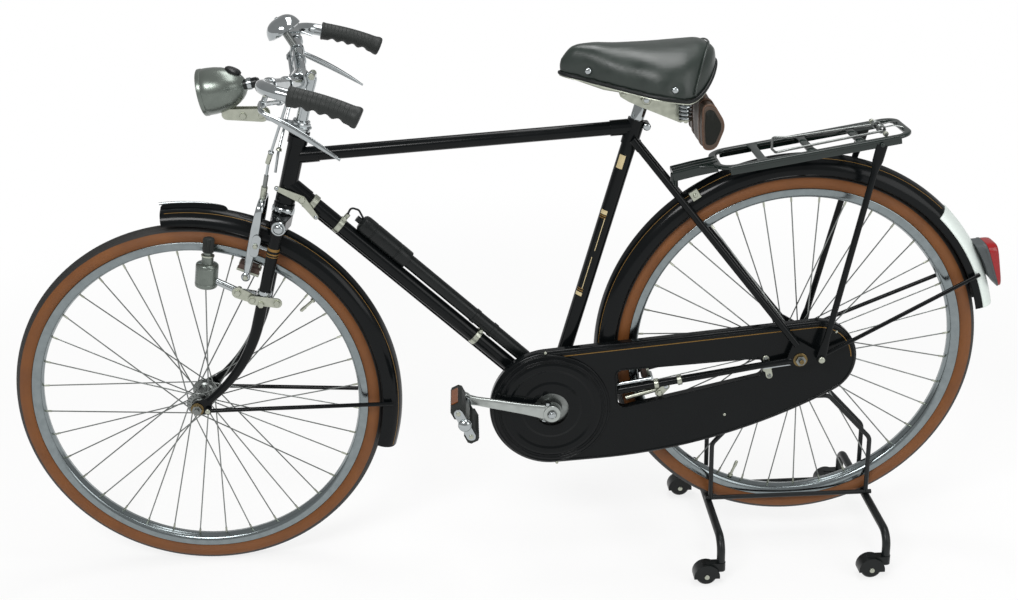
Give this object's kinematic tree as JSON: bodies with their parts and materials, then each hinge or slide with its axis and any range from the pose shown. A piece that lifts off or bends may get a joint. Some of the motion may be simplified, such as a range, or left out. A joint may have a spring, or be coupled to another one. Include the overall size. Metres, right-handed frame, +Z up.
{
  "type": "roadster bicycle",
  "caption": "Upright roadster bicycle with rod brakes, chain case, rack, lamps, pump and tool bag, its rear wheel held in a wheeled parking stand.",
  "frame": {"origin": "middle of the footprint, on the floor", "axes": "+X to the front of the bicycle, +Y to its left, +Z up"},
  "size_m": [1.8981, 0.6348, 1.0519],
  "materials": {
    "enamel": "gloss black stove enamel",
    "rack_paint": "satin dark green paint",
    "lamp_paint": "grey-green metallic paint",
    "pale_paint": "gloss pale paint",
    "stand_paint": "satin black paint",
    "chrome": "polished chrome plate",
    "steel": "plain steel",
    "alloy": "satin alloy",
    "tyre_rubber": "dark tread with tan sidewalls",
    "grip_rubber": "satin black rubber",
    "saddle_cover": "dark green-grey padded cover",
    "bag_leather": "dark brown leather",
    "black_plastic": "matte black plastic",
    "lamp_plastic": "dark grey plastic",
    "red_plastic": "red lens",
    "clear_glass": "clear pressed glass"
  },
  "bodies": {
    "frame": {"head_tube": "enamel", "top_tube": "enamel", "down_tube": "enamel", "seat_tube": "enamel", "bottom_bracket": "enamel", "chain_stays": "enamel", "seat_stays": "enamel", "seat_post": "steel", "saddle": "saddle_cover", "tool_bag": "bag_leather", "chain_case": "enamel", "chain_case_disc": "enamel", "rear_mudguard": "enamel", "mudguard_tail": "pale_paint", "rear_mudguard_stays": "enamel", "rack": "rack_paint", "rack_clip": "steel", "rear_lamp_housing": "lamp_plastic", "rear_lamp_lens": "red_plastic", "pump": "black_plastic", "rear_brake": "chrome", "rear_axle": "steel", "stand_legs": "stand_paint", "stand_hoops": "stand_paint"},
    "steering": {"fork_crown": "enamel", "fork_blades": "enamel", "front_axle": "steel", "stem": "chrome", "handlebar": "chrome", "grips": "grip_rubber", "brake_levers": "chrome", "bell": "chrome", "headlamp": "lamp_paint", "headlamp_glass": "clear_glass", "front_brake": "chrome", "dynamo": "lamp_paint", "front_mudguard": "enamel", "mudguard_crest": "chrome", "front_mudguard_stays": "enamel"},
    "front_wheel": {"front_tyre": "tyre_rubber", "front_rim": "chrome", "front_hub": "steel"},
    "rear_wheel": {"rear_tyre": "tyre_rubber", "rear_rim": "chrome", "rear_hub": "steel"},
    "cranks": {"crank_arms": "alloy", "chainwheel": "steel"},
    "left_pedal": {"pedal_left": "chrome", "pedal_left_rubbers": "grip_rubber"},
    "right_pedal": {"pedal_right": "chrome", "pedal_right_rubbers": "grip_rubber"},
    "castor_front_left": {"castor_hood_front_left": "black_plastic"},
    "castor_roller_front_left": {"castor_wheel_front_left": "black_plastic"},
    "castor_front_right": {"castor_hood_front_right": "black_plastic"},
    "castor_roller_front_right": {"castor_wheel_front_right": "black_plastic"},
    "castor_rear_left": {"castor_hood_rear_left": "black_plastic"},
    "castor_roller_rear_left": {"castor_wheel_rear_left": "black_plastic"},
    "castor_rear_right": {"castor_hood_rear_right": "black_plastic"},
    "castor_roller_rear_right": {"castor_wheel_rear_right": "black_plastic"}
  },
  "joints": [
    {"name": "steering_turn", "type": "hinge", "parent": "frame", "child": "steering", "pos_m": [0.38206, 0, 0.80915], "axis": [-0.2743, 0, 0.9616], "range_deg": [-55, 55]},
    {"name": "front_wheel_spin", "type": "hinge", "parent": "steering", "child": "front_wheel", "pos_m": [0.59363, 0, 0.3555], "axis": [0, 1, 0], "continuous": true},
    {"name": "rear_wheel_spin", "type": "hinge", "parent": "frame", "child": "rear_wheel", "pos_m": [-0.55969, 0, 0.4175], "axis": [0, 1, 0], "continuous": true},
    {"name": "crank_turn", "type": "hinge", "parent": "frame", "child": "cranks", "pos_m": [-0.08386, 0, 0.32733], "axis": [0, 1, 0], "continuous": true},
    {"name": "left_pedal_spin", "type": "hinge", "parent": "cranks", "child": "left_pedal", "pos_m": [0.08216, 0, 0.3639], "axis": [0, 1, 0], "continuous": true},
    {"name": "right_pedal_spin", "type": "hinge", "parent": "cranks", "child": "right_pedal", "pos_m": [-0.24988, 0, 0.29076], "axis": [0, 1, 0], "continuous": true},
    {"name": "castor_swivel_front_left", "type": "hinge", "parent": "frame", "child": "castor_front_left", "pos_m": [-0.39969, 0.175, 0.046], "axis": [0, 0, 1], "continuous": true},
    {"name": "castor_roll_front_left", "type": "hinge", "parent": "castor_front_left", "child": "castor_roller_front_left", "pos_m": [-0.37169, 0.175, 0.02], "axis": [0, 1, 0], "continuous": true},
    {"name": "castor_swivel_front_right", "type": "hinge", "parent": "frame", "child": "castor_front_right", "pos_m": [-0.39969, -0.175, 0.046], "axis": [0, 0, 1], "continuous": true},
    {"name": "castor_roll_front_right", "type": "hinge", "parent": "castor_front_right", "child": "castor_roller_front_right", "pos_m": [-0.37169, -0.175, 0.02], "axis": [0, 1, 0], "continuous": true},
    {"name": "castor_swivel_rear_left", "type": "hinge", "parent": "frame", "child": "castor_rear_left", "pos_m": [-0.71969, 0.175, 0.046], "axis": [0, 0, 1], "continuous": true},
    {"name": "castor_roll_rear_left", "type": "hinge", "parent": "castor_rear_left", "child": "castor_roller_rear_left", "pos_m": [-0.69169, 0.175, 0.02], "axis": [0, 1, 0], "continuous": true},
    {"name": "castor_swivel_rear_right", "type": "hinge", "parent": "frame", "child": "castor_rear_right", "pos_m": [-0.71969, -0.175, 0.046], "axis": [0, 0, 1], "continuous": true},
    {"name": "castor_roll_rear_right", "type": "hinge", "parent": "castor_rear_right", "child": "castor_roller_rear_right", "pos_m": [-0.69169, -0.175, 0.02], "axis": [0, 1, 0], "continuous": true}
  ]
}
